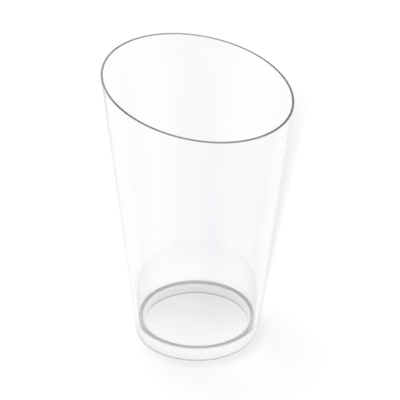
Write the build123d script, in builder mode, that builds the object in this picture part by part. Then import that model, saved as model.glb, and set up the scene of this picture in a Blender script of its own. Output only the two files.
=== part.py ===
import os
from math import radians, tan

from build123d import *

# Driving dimensions, in millimetres and degrees
foot_diameter = 36.0  # outside of the foot, on the table
wall_draft = 5.5  # lean of the outside wall from upright
back_height = 82.2  # lip at its highest, at the back
front_height = 69.8  # lip at its lowest, at the front
base_wall = 1.0  # wall just above the floor, measured level
lip_wall = 0.55  # wall at the highest point of the lip, measured level
floor_thickness = 0.8
recess_depth = 3.6  # hollow under the floor
recess_draft = 6.5  # lean of the hollow's side, so that it leaves the mould
skirt_wall = 1.8  # skirt around the hollow, on the table
floor_corner_round = 0.3  # inside, where the wall meets the floor
foot_edge_round = 0.45  # outside edge that meets the table
recess_edge_break = 0.15  # inside edge that meets the table
lip_edge_break = 0.15  # both edges of the lip
widest_lip_break = 0.4  # share of the lip's wall that one broken edge may take

# Outside of the cone: one straight wall from the table to the lip
foot_radius = foot_diameter / 2


def outside_radius(height):
    return foot_radius + height * tan(radians(wall_draft))


# Inside of the cone: the wall thins steadily from the floor to the lip
floor_height = recess_depth + floor_thickness
floor_radius = outside_radius(floor_height) - base_wall
lip_inside_radius = outside_radius(back_height) - lip_wall
inside_slope = (lip_inside_radius - floor_radius) / (back_height - floor_height)


def inside_radius(height):
    return floor_radius + (height - floor_height) * inside_slope


# Hollow under the floor
recess_radius = foot_radius - skirt_wall
recess_top_radius = recess_radius - recess_depth * tan(radians(recess_draft))

# The lip lies in one plane, which touches the outside wall at both heights
lip_drop = back_height - front_height
front_radius = outside_radius(front_height)
back_radius = outside_radius(back_height)
lip_slope = lip_drop / (front_radius + back_radius)
lip_axis_height = front_height + front_radius * lip_slope
lip_normal = (0, -lip_slope, 1)
lip_plane = Plane(origin=(0, 0, lip_axis_height), x_dir=(1, 0, 0), z_dir=lip_normal)
blank_height = back_height + lip_drop  # round cup before its lip is cut
lip_break = min(lip_edge_break, widest_lip_break * lip_wall)

os.makedirs("parts", exist_ok=True)

# Cup: one moulded piece, a tapered wall with a floor held up on a skirt
with BuildPart() as cup:
    with BuildSketch(Plane.YZ) as section:
        with BuildLine():
            Polyline(
                (0, floor_height),
                (floor_radius, floor_height),
                (inside_radius(blank_height), blank_height),
                (outside_radius(blank_height), blank_height),
                (foot_radius, 0),
                (recess_radius, 0),
                (recess_top_radius, recess_depth),
                (0, recess_depth),
                close=True,
            )
        make_face()
        floor_corner = section.vertices().group_by(Axis.Y)[2].sort_by(Axis.X)[-1]
        fillet(floor_corner, floor_corner_round)
        foot_corner = section.vertices().group_by(Axis.Y)[0].sort_by(Axis.X)[-1]
        fillet(foot_corner, foot_edge_round)
        recess_corner = section.vertices().group_by(Axis.Y)[0].sort_by(Axis.X)[0]
        chamfer(recess_corner, recess_edge_break)
    revolve(axis=Axis.Z)

    # Slanted mouth, with both edges of the cut wall broken
    split(bisect_by=lip_plane, keep=Keep.BOTTOM)
    lip_face = cup.faces().sort_by(Axis((0, 0, 0), lip_normal))[-1]
    chamfer(lip_face.edges(), lip_break)

cup.part.label = "cup"
export_step(cup.part, "parts/cup.step")
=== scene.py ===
import math

import bmesh
import bpy
from mathutils import Matrix, Vector


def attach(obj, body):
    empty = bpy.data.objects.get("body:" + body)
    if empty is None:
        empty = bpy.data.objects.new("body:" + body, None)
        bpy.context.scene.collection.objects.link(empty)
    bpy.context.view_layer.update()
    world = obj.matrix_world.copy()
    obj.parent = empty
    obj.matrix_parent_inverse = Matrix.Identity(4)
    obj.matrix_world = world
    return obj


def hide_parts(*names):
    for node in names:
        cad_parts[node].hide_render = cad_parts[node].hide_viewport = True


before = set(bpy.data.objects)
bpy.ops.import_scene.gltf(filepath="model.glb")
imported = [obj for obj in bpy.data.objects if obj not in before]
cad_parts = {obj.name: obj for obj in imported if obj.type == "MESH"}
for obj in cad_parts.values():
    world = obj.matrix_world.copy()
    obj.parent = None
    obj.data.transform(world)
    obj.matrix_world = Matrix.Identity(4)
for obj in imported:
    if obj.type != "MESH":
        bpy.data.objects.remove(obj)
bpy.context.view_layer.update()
scene = bpy.context.scene
mm = 0.001
white = (1, 1, 1, 1)
print("frame loaded:", sorted(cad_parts))


# Shader maths as Python: a wire is one output socket, and an expression adds its Math nodes
class Wire:
    def __init__(self, shade, socket):
        self.shade = shade
        self.socket = socket

    def maths(self, operation, first, second):
        return self.shade.node("ShaderNodeMath", {"operation": operation}, {0: first, 1: second})

    def __add__(self, other):
        return self.maths("ADD", self, other)

    def __radd__(self, other):
        return self.maths("ADD", other, self)

    def __sub__(self, other):
        return self.maths("SUBTRACT", self, other)

    def __rsub__(self, other):
        return self.maths("SUBTRACT", other, self)

    def __mul__(self, other):
        return self.maths("MULTIPLY", self, other)

    def __rmul__(self, other):
        return self.maths("MULTIPLY", other, self)

    def __truediv__(self, other):
        return self.maths("DIVIDE", self, other)

    def __rtruediv__(self, other):
        return self.maths("DIVIDE", other, self)

    def __pow__(self, other):
        return self.maths("POWER", self, other)

    def __rpow__(self, other):
        return self.maths("POWER", other, self)


class Shade:
    def __init__(self, tree):
        self.tree = tree
        tree.nodes.clear()

    # any node: its type, its settings, then its sockets as values or wires
    def node(self, kind, settings=None, inputs=None, output=0):
        made = self.tree.nodes.new(kind)
        for name, value in (settings or {}).items():
            if name == "stops":
                ramp = made.color_ramp.elements
                while len(ramp) < len(value):
                    ramp.new(0.5)  # placed below
                for element, (place, colour) in zip(ramp, value):
                    element.position = place
                    element.color = colour
            else:
                setattr(made, name, value)
        for name, value in (inputs or {}).items():
            if isinstance(value, Wire):
                self.tree.links.new(value.socket, made.inputs[name])
            else:
                made.inputs[name].default_value = value
        return Wire(self, made.outputs[output]) if made.outputs else None


# smooth step of a wire from 0 at one value to 1 at the other
def rise(shade, wire, start, end):
    return shade.node("ShaderNodeMapRange", {"interpolation_type": "SMOOTHSTEP"}, {
        "Value": wire, "From Min": start, "From Max": end, "To Min": 0.0, "To Max": 1.0,
    })


# 1 inside a span that begins, is full, is full no more and ends at these values
def within(shade, wire, span):
    begins, full, fades, ends = span
    return rise(shade, wire, begins, full) * (1 - rise(shade, wire, fades, ends))


def mixColour(shade, share, first, second):
    return shade.node("ShaderNodeMix", {"data_type": "RGBA"}, {"Factor": share, 6: first, 7: second}, 2)


# 1 for a ray of one of these kinds, on its way from the camera with no dull surface between
def seenRay(shade, kinds):
    seen = shade.node("ShaderNodeLightPath", {}, {}, kinds[0])
    for kind in kinds[1:]:
        seen = seen.maths("MAXIMUM", seen, shade.node("ShaderNodeLightPath", {}, {}, kind))
    scattered = shade.node("ShaderNodeLightPath", {}, {}, "Diffuse Depth")
    return seen * (1 - scattered.maths("MINIMUM", scattered, 1.0))


# Cup: sizes of the moulded section, in metres
cup = {
    "footRadius": 18.0 * mm,
    "draftDeg": 5.5,  # lean of the outside wall
    "backHeight": 82.2 * mm,
    "frontHeight": 69.8 * mm,
    "baseWall": 1.0 * mm,
    "lipWall": 0.55 * mm,
    "floorThickness": 0.8 * mm,
    "recessDepth": 3.6 * mm,
    "recessDraftDeg": 6.5,
    "skirtWall": 1.8 * mm,
    "floorRound": 0.3 * mm,
    "footRound": 0.45 * mm,
    "recessRound": 0.18 * mm,
    "ceilingRound": 0.12 * mm,  # where the hollow's side meets the floor's underside
    "lipRound": 0.2 * mm,
    "around": 540,  # segments round the cup
    "floorRings": 6,
    "rings": [6, 1, 6, 2, 3],  # on the inner wall, lip, outer wall, foot and hollow's side
    "roundSteps": 7,
    "normalWeight": 100,
}


# points of a rounded corner between the ways to the point before it and the point after it
def roundedCorner(before, corner, after, radius, steps):
    inward = (before - corner).normalized()
    outward = (after - corner).normalized()
    half = inward.angle(outward) / 2
    middle = (inward + outward).normalized()
    centre = corner + middle * (radius / math.sin(half))
    start = corner + inward * (radius / math.tan(half))
    end = corner + outward * (radius / math.tan(half))
    sweep = math.pi - 2 * half
    points = []
    for step in range(steps + 1):
        share = step / steps
        a = math.sin((1 - share) * sweep) / math.sin(sweep)
        b = math.sin(share * sweep) / math.sin(sweep)
        points.append(centre + (start - centre) * a + (end - centre) * b)
    return points


def between(first, last, count):
    return [first.lerp(last, (i + 1) / (count + 1)) for i in range(count)]


# sizes that follow from the ones above
def cupSizes():
    c = cup
    outSlope = math.tan(math.radians(c["draftDeg"]))
    floorTop = c["recessDepth"] + c["floorThickness"]
    floorRadius = c["footRadius"] + floorTop * outSlope - c["baseWall"]
    lipInside = c["footRadius"] + c["backHeight"] * outSlope - c["lipWall"]
    frontRadius = c["footRadius"] + c["frontHeight"] * outSlope
    backRadius = c["footRadius"] + c["backHeight"] * outSlope
    lipSlope = (c["backHeight"] - c["frontHeight"]) / (frontRadius + backRadius)
    recessRadius = c["footRadius"] - c["skirtWall"]
    return {
        "outSlope": outSlope,
        "inSlope": (lipInside - floorRadius) / (c["backHeight"] - floorTop),
        "floorTop": floorTop,
        "floorRadius": floorRadius,
        "lipSlope": lipSlope,
        "lipAxis": c["frontHeight"] + frontRadius * lipSlope,  # height of the lip's plane on the axis
        "recessRadius": recessRadius,
        "recessTop": recessRadius - c["recessDepth"] * math.tan(math.radians(c["recessDraftDeg"])),
    }


# the section at one angle round the axis, from the floor's middle over the lip to its underside
def cupSection(angle, sizes):
    c = cup
    outSlope = sizes["outSlope"]
    inSlope = sizes["inSlope"]
    floorTop = sizes["floorTop"]
    floorRadius = sizes["floorRadius"]
    lipRise = sizes["lipSlope"] * math.sin(angle)  # of the lip's plane, outward at this angle
    inStart = floorRadius - floorTop * inSlope
    inTop = (sizes["lipAxis"] + lipRise * inStart) / (1 - lipRise * inSlope)
    outTop = (sizes["lipAxis"] + lipRise * c["footRadius"]) / (1 - lipRise * outSlope)

    floorMiddle = Vector((0, floorTop))
    floorCorner = Vector((floorRadius, floorTop))
    lipIn = Vector((inStart + inTop * inSlope, inTop))
    lipOut = Vector((c["footRadius"] + outTop * outSlope, outTop))
    footCorner = Vector((c["footRadius"], 0))
    recessCorner = Vector((sizes["recessRadius"], 0))
    ceilingCorner = Vector((sizes["recessTop"], c["recessDepth"]))
    ceilingMiddle = Vector((0, c["recessDepth"]))

    steps = c["roundSteps"]
    corners = [
        roundedCorner(floorMiddle, floorCorner, lipIn, c["floorRound"], steps),
        roundedCorner(floorCorner, lipIn, lipOut, c["lipRound"], steps),
        roundedCorner(lipIn, lipOut, footCorner, c["lipRound"], steps),
        roundedCorner(lipOut, footCorner, recessCorner, c["footRound"], steps),
        roundedCorner(footCorner, recessCorner, ceilingCorner, c["recessRound"], steps),
        roundedCorner(recessCorner, ceilingCorner, ceilingMiddle, c["ceilingRound"], steps),
    ]
    points = between(floorMiddle, corners[0][0], c["floorRings"])
    for corner, count, following in zip(corners, c["rings"], corners[1:]):
        points += corner + between(corner[-1], following[0], count)
    points += corners[-1] + between(corners[-1][-1], ceilingMiddle, c["floorRings"])
    return points


def makeCup():
    sizes = cupSizes()
    shape = bmesh.new()
    columns = []
    for i in range(cup["around"]):
        angle = 2 * math.pi * i / cup["around"]
        points = cupSection(angle, sizes)
        columns.append([
            shape.verts.new((p.x * math.cos(angle), p.x * math.sin(angle), p.y)) for p in points
        ])
    floorMiddle = shape.verts.new((0, 0, sizes["floorTop"]))
    ceilingMiddle = shape.verts.new((0, 0, cup["recessDepth"]))
    for here, there in zip(columns, columns[1:] + columns[:1]):
        shape.faces.new((floorMiddle, here[0], there[0]))
        shape.faces.new((ceilingMiddle, there[-1], here[-1]))
        for k in range(len(here) - 1):
            shape.faces.new((here[k], here[k + 1], there[k + 1], there[k]))
    bmesh.ops.recalc_face_normals(shape, faces=shape.faces)
    mesh = bpy.data.meshes.new("clearCup")
    shape.to_mesh(mesh)
    shape.free()
    mesh.shade_smooth()
    piece = bpy.data.objects.new("clearCup", mesh)
    scene.collection.objects.link(piece)
    even = piece.modifiers.new("evenNormals", "WEIGHTED_NORMAL")  # flat walls keep their own normals
    even.weight = cup["normalWeight"]
    even.keep_sharp = True
    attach(piece, "root")
    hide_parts("cup")
    print("cup made:", len(mesh.vertices), "vertices,", len(mesh.polygons), "faces")
    return piece


# Clear moulded plastic: glossy walls, a duller lip, ring and hollow, with painted shade on the lip, ring,
# hollow, one side of the floor and in bands up the wall.
# A span of four is where its part begins, is full, is full no more and ends:
# across is measured from the axis, high from the table
plastic = {
    "tint": (0.991, 0.992, 0.996, 1),
    "ior": 1.59,
    "wallRoughness": 0.02,
    # painted shade: the lip's dark line
    "lipPaintedShade": (0.14, 0.145, 0.15, 1),
    "lipRoughness": 0.35,
    "lipBand": (0.15 * mm, 0.3 * mm),  # below the lip, where its dullness and painted shade fade
    "lipLitSideDeg": 148.0,  # painted light: its painted dark line is paler towards this end
    "lipLitAlong": (21.0 * mm, 25.0 * mm),
    "lipPaintedLight": 0.5,
    "ringPaintedShade": (0.245, 0.25, 0.255, 1),  # painted shade on the thick corner over the skirt
    "ringRoughness": 0.5,
    "ringAcross": (15.9 * mm, 16.15 * mm, 17.3 * mm, 17.5 * mm),
    "ringHigh": (4.2 * mm, 4.35 * mm, 4.5 * mm, 4.6 * mm),
    "skirtRoughness": 0.25,
    "skirtFrom": (16.5 * mm, 16.9 * mm),
    "skirtTop": (4.0 * mm, 4.6 * mm),
    "hollowPaintedShade": (0.92, 0.925, 0.93, 1),  # painted shade on the hollow's side, under the floor
    "hollowRoughness": 0.12,
    "hollowAcross": (15.5 * mm, 15.7 * mm, 16.3 * mm, 16.5 * mm),
    "hollowHigh": (0.1 * mm, 0.3 * mm, 3.4 * mm, 3.55 * mm),
    "floorPaintedShade": (0.87, 0.877, 0.888, 1),  # painted shade: the floor greyer towards one side
    "floorShadedSideDeg": 54.0,
    "floorShadeAlong": (-14.0 * mm, 15.0 * mm),
    "floorEdge": (15.6 * mm, 15.9 * mm),
    "wallPaintedShade": (0.932, 0.942, 0.957, 1),  # painted shade: broad bluish-grey bands up the wall
    "wallShadeBands": [(54.0, 38.0, 10.0, 1.0), (-92.0, 38.0, 10.0, 0.6)],  # degrees: middle, ends, full; strength
    "wallShadeFoot": 12.0 * mm,  # height above the floor in which they come in
    "flowWander": 0.5,  # how far noise moves their edges
    "wallShadeStart": (1.5, 0.2, 0.4),  # where in the noise they lie
    "wallShadeNoise": (50.0, 1.5),  # scale and detail, as for the next three
    "hazeNoise": (60.0, 4.0),
    "grainNoise": (5000.0, 1.0),
    "swirlNoise": (90.0, 1.0),
    "noiseMiddle": 0.5,
    "stretch": (1, 1, 0.12),  # draws the painted shade bands and the swirls out up the wall
    "hazeRoughness": 0.03,  # patches of duller gloss
    "grainRoughness": 0.2,  # fine grain in the dull parts
    "ripple": 0.02 * mm,  # height of the moulding's ripples
    "throughLoss": 0.02,  # of lamp light at a face met square on
    "slantBlend": 0.5,  # even: a face counts by the angle at which it is met
    "slantPower": 4.0,  # how late the loss grows as a face is met edge on
    "lipLoss": 0.3,
    "skirtLoss": 0.8,
}


def plasticMaterial():
    p = plastic
    sizes = cupSizes()
    material = bpy.data.materials.new("clearPlastic")
    material.use_nodes = True
    shade = Shade(material.node_tree)

    def vectors(operation, first, second=(0, 0, 0), output=0):
        return shade.node("ShaderNodeVectorMath", {"operation": operation}, {0: first, 1: second}, output)

    def noise(vector, scale, detail):
        return shade.node("ShaderNodeTexNoise", {}, {"Vector": vector, "Scale": scale, "Detail": detail})

    place = shade.node("ShaderNodeTexCoord", {}, {}, "Object")
    y = shade.node("ShaderNodeSeparateXYZ", {}, {0: place}, "Y")
    z = shade.node("ShaderNodeSeparateXYZ", {}, {0: place}, "Z")
    level = vectors("MULTIPLY", place, (1, 1, 0))
    radius = vectors("LENGTH", level, output="Value")

    # distance from the axis towards one side
    def towards(wayDeg):
        way = (math.cos(math.radians(wayDeg)), math.sin(math.radians(wayDeg)), 0)
        return vectors("DOT_PRODUCT", level, way, "Value")

    # the parts with a look of their own; the lip, ring, hollow and one side of the floor also get painted
    # shade
    lip = 1 - rise(shade, y * sizes["lipSlope"] + sizes["lipAxis"] - z, *p["lipBand"])
    # painted shade: the lip's dark line, with painted light making it paler towards one end
    lipShade = lip * (1 - p["lipPaintedLight"] * rise(shade, towards(p["lipLitSideDeg"]), *p["lipLitAlong"]))
    # painted shade on the ring, as well as its dullness
    ring = within(shade, radius, p["ringAcross"]) * within(shade, z, p["ringHigh"])
    skirt = rise(shade, radius, *p["skirtFrom"]) * (1 - rise(shade, z, *p["skirtTop"]))
    # painted shade on the hollow's side, as well as its dullness
    hollow = within(shade, radius, p["hollowAcross"]) * within(shade, z, p["hollowHigh"])
    # painted shade: the floor's disc greyer towards one side
    shadedSide = rise(shade, towards(p["floorShadedSideDeg"]), *p["floorShadeAlong"])
    floor = shadedSide * (1 - rise(shade, radius, *p["floorEdge"]))

    # painted shade lies in bands up the wall, haze lies in wide patches and the dull parts have a fine
    # grain
    upright = vectors("MULTIPLY", place, p["stretch"])
    wallShadePlace = vectors("ADD", upright, p["wallShadeStart"])
    wander = (noise(wallShadePlace, *p["wallShadeNoise"]) - p["noiseMiddle"]) * p["flowWander"]
    haze = noise(place, *p["hazeNoise"])
    grain = noise(place, *p["grainNoise"])
    swirl = noise(upright, *p["swirlNoise"])

    # painted shade: a broad bluish-grey band up the wall, facing one way
    def shadeBand(wayDeg, endDeg, fullDeg, strength):
        facing = towards(wayDeg) / radius + wander
        ends = math.cos(math.radians(endDeg))
        full = math.cos(math.radians(fullDeg))
        return strength * rise(shade, facing, ends, full)

    wall = rise(shade, z, sizes["floorTop"], sizes["floorTop"] + p["wallShadeFoot"])
    highShade, lowShade = p["wallShadeBands"]
    flow = (shadeBand(*highShade) + shadeBand(*lowShade)) * wall

    # painted shade goes into the plastic's colour here: wall bands, floor side, lip, ring and hollow
    tint = p["tint"]
    for share, name in [
        (flow, "wallPaintedShade"),
        (floor, "floorPaintedShade"),
        (lipShade, "lipPaintedShade"),
        (ring, "ringPaintedShade"),
        (hollow, "hollowPaintedShade"),
    ]:
        tint = mixColour(shade, share, tint, p[name])
    dull = lip * p["lipRoughness"] + ring * p["ringRoughness"] + skirt * p["skirtRoughness"]
    grained = 1 + (grain - p["noiseMiddle"]) * p["grainRoughness"]
    dull = (dull + hollow * p["hollowRoughness"]) * grained
    bump = shade.node("ShaderNodeBump", {}, {"Strength": 1.0, "Distance": p["ripple"], "Height": swirl})
    body = shade.node("ShaderNodeBsdfPrincipled", {}, {
        "Base Color": tint,
        "Roughness": p["wallRoughness"] + haze * p["hazeRoughness"] + dull,
        "IOR": p["ior"],
        "Transmission Weight": 1.0,
        "Normal": bump,
    })

    # lamps shine through it: little is lost square on, most of it where a face is met edge on
    lampRay = shade.node("ShaderNodeLightPath", {}, {}, "Is Shadow Ray")
    slant = shade.node("ShaderNodeLayerWeight", {}, {"Blend": p["slantBlend"]}, "Facing")
    through = (1 - p["throughLoss"]) * (1 - slant ** p["slantPower"])
    clear = lampRay * through * (1 - p["lipLoss"] * lip) * (1 - p["skirtLoss"] * skirt)
    air = shade.node("ShaderNodeBsdfTransparent", {}, {"Color": white})
    surface = shade.node("ShaderNodeMixShader", {}, {0: clear, 1: body, 2: air})
    shade.node("ShaderNodeOutputMaterial", {}, {"Surface": surface})
    print("plastic mixed:", len(material.node_tree.nodes), "nodes")
    return material


# Table: a wide white floor that keeps the cup's shadow
table = {
    "halfWidth": 3.0,
    "drop": 0.05 * mm,  # keeps the foot's face off the floor's own plane
    "grey": 0.5,
    "lift": 0.52,  # added for what the eye or the plastic sees of it
    "plain": 0.99,  # brightness of the plain white that the plastic shows of it
    "plainShare": 0.78,  # the rest is the table with its shadows
}


def makeTable():
    half = table["halfWidth"]
    corners = [(-half, -half), (half, -half), (half, half), (-half, half)]
    mesh = bpy.data.meshes.new("table")
    mesh.from_pydata([(x, y, -table["drop"]) for x, y in corners], [], [(0, 1, 2, 3)])
    piece = bpy.data.objects.new("table", mesh)
    scene.collection.objects.link(piece)
    material = bpy.data.materials.new("tableWhite")
    material.use_nodes = True
    shade = Shade(material.node_tree)
    colour = (table["grey"], table["grey"], table["grey"], 1)
    paper = shade.node("ShaderNodeBsdfDiffuse", {}, {"Color": colour})
    lift = shade.node("ShaderNodeEmission", {}, {"Color": white, "Strength": table["lift"]})
    plain = shade.node("ShaderNodeEmission", {}, {"Color": white, "Strength": table["plain"]})
    lifted = shade.node("ShaderNodeAddShader", {}, {0: paper, 1: lift})
    seen = seenRay(shade, ["Is Camera Ray", "Is Glossy Ray", "Is Transmission Ray"])
    shadowed = shade.node("ShaderNodeMixShader", {}, {0: seen, 1: paper, 2: lifted})
    plainShare = seenRay(shade, ["Is Glossy Ray", "Is Transmission Ray"]) * table["plainShare"]
    surface = shade.node("ShaderNodeMixShader", {}, {0: plainShare, 1: shadowed, 2: plain})
    shade.node("ShaderNodeOutputMaterial", {}, {"Surface": surface})
    mesh.materials.append(material)
    print("table laid")


# Room: soft light all round, and what the plastic shows of it from the horizon up
room = {
    "light": 0.05,
    "shown": [
        (0.0, (1.0, 1.0, 1.0, 1)),
        (0.38, (1.0, 1.0, 1.0, 1)),
        (0.48, (0.1, 0.1, 0.105, 1)),  # a dark band gives the lip its line
        (0.54, (0.1, 0.1, 0.105, 1)),
        (0.6, (1.0, 1.0, 1.0, 1)),
        (0.95, (0.3, 0.3, 0.31, 1)),
    ],
}


def makeRoom():
    world = bpy.data.worlds.new("room")
    scene.world = world
    world.use_nodes = True
    shade = Shade(world.node_tree)
    way = shade.node("ShaderNodeTexCoord", {}, {}, "Generated")
    height = shade.node("ShaderNodeSeparateXYZ", {}, {0: way}, "Z")
    shown = shade.node("ShaderNodeValToRGB", {"stops": room["shown"]}, {0: height})
    light = (room["light"], room["light"], room["light"], 1)
    plasticRay = seenRay(shade, ["Is Glossy Ray", "Is Transmission Ray"])
    cameraRay = shade.node("ShaderNodeLightPath", {}, {}, "Is Camera Ray")
    colour = mixColour(shade, plasticRay, light, shown)
    colour = mixColour(shade, cameraRay, colour, white)
    sky = shade.node("ShaderNodeBackground", {}, {"Color": colour, "Strength": 1.0})
    shade.node("ShaderNodeOutputWorld", {}, {"Surface": sky})
    print("room lit")


# Lamps: share is the part of a white table's brightness that each one gives
lensLamp = {
    "left": 5.5 * mm,  # of the lens, so that the shadow shows along the right side
    "size": 7.5 * mm,
    "share": 0.3,
}
backLamp = {
    "leftDeg": 142.0,  # round from the camera
    "elevationDeg": 65.0,
    "softDeg": 28.0,
    "share": 0.2,
}


# unit vector from the cup towards a place given by its angles
def wayTo(azimuthDeg, elevationDeg):
    azimuth = math.radians(azimuthDeg)
    elevation = math.radians(elevationDeg)
    level = math.cos(elevation)
    return Vector((math.sin(azimuth) * level, -math.cos(azimuth) * level, math.sin(elevation)))


def hangLamp(name, bulb):
    bulb.cycles.use_multiple_importance_sampling = False
    holder = bpy.data.objects.new(name, bulb)
    holder.visible_glossy = False  # the plastic shows the room, not the bulbs
    holder.visible_transmission = False
    scene.collection.objects.link(holder)
    print(name, "hung, strength", round(bulb.energy, 2))
    return holder


# lights the whole table evenly: it grows stronger with distance, as fast as its light thins out
def makeLensLamp():
    side = Vector((0, 0, 1)).cross(wayTo(eye["azimuthDeg"], 0))
    place = cameraPlace() - side * lensLamp["left"]
    bulb = bpy.data.lights.new("lensLamp", "POINT")
    bulb.energy = lensLamp["share"] * 4 * math.pi ** 2 / (table["grey"] * place.z)
    bulb.shadow_soft_size = lensLamp["size"]
    bulb.use_nodes = True
    shade = Shade(bulb.node_tree)
    far = shade.node("ShaderNodeLightPath", {}, {}, "Ray Length")
    glow = shade.node("ShaderNodeEmission", {}, {"Color": white, "Strength": far * far * far})
    shade.node("ShaderNodeOutputLight", {}, {"Surface": glow})
    hangLamp("lensLamp", bulb).location = place


def makeBackLamp():
    way = wayTo(eye["azimuthDeg"] - backLamp["leftDeg"], backLamp["elevationDeg"])
    bulb = bpy.data.lights.new("backLamp", "SUN")
    bulb.energy = backLamp["share"] * math.pi / (table["grey"] * way.z)
    bulb.angle = math.radians(backLamp["softDeg"])
    hangLamp("backLamp", bulb).rotation_euler = (-way).to_track_quat("-Z", "Y").to_euler()


# Camera: the photograph's own place, found from the lip, the foot and the two sides
eye = {
    "distance": 270 * mm,
    "azimuthDeg": -35.76,  # round from the low side of the lip
    "elevationDeg": 27.781,
    "aimHeight": 41.86 * mm,
    "yawDeg": 0.1146,
    "rollDeg": 0.73,
    "pixelsPerUnit": 973.84,  # focal length, in pixels of the picture
    "picturePixels": 400,
    "sensor": 36.0,
    "clipStart": 1 * mm,
}


def cameraPlace():
    aim = Vector((0, 0, eye["aimHeight"]))
    return aim + wayTo(eye["azimuthDeg"], eye["elevationDeg"]) * eye["distance"]


def makeCamera():
    back = wayTo(eye["azimuthDeg"], eye["elevationDeg"])
    turn = (-back).to_track_quat("-Z", "Y").to_matrix().to_4x4()
    yaw = Matrix.Rotation(-math.radians(eye["yawDeg"]), 4, "Y")
    roll = Matrix.Rotation(math.radians(eye["rollDeg"]), 4, "Z")
    lens = bpy.data.cameras.new("eye")
    lens.sensor_width = eye["sensor"]
    lens.lens = eye["pixelsPerUnit"] / eye["picturePixels"] * eye["sensor"]
    lens.clip_start = eye["clipStart"]
    holder = bpy.data.objects.new("eye", lens)
    scene.collection.objects.link(holder)
    holder.matrix_world = Matrix.Translation(cameraPlace()) @ turn @ yaw @ roll
    scene.camera = holder
    print("camera placed, lens", round(lens.lens, 2))


# Tracing: light runs a long way inside the walls, and lamps pass through them unbent
tracing = {"bounces": 256, "throughBounces": 32}


def setTracing():
    scene.view_settings.view_transform = "Standard"
    scene.cycles.max_bounces = tracing["bounces"]
    scene.cycles.transmission_bounces = tracing["bounces"]
    scene.cycles.glossy_bounces = tracing["bounces"]
    scene.cycles.transparent_max_bounces = tracing["throughBounces"]
    scene.cycles.caustics_refractive = False
    scene.cycles.caustics_reflective = False
    scene.cycles.blur_glossy = 0
    print("tracing set")


clearCup = makeCup()
clearCup.data.materials.append(plasticMaterial())
makeTable()
makeRoom()
makeLensLamp()
makeBackLamp()
makeCamera()
setTracing()
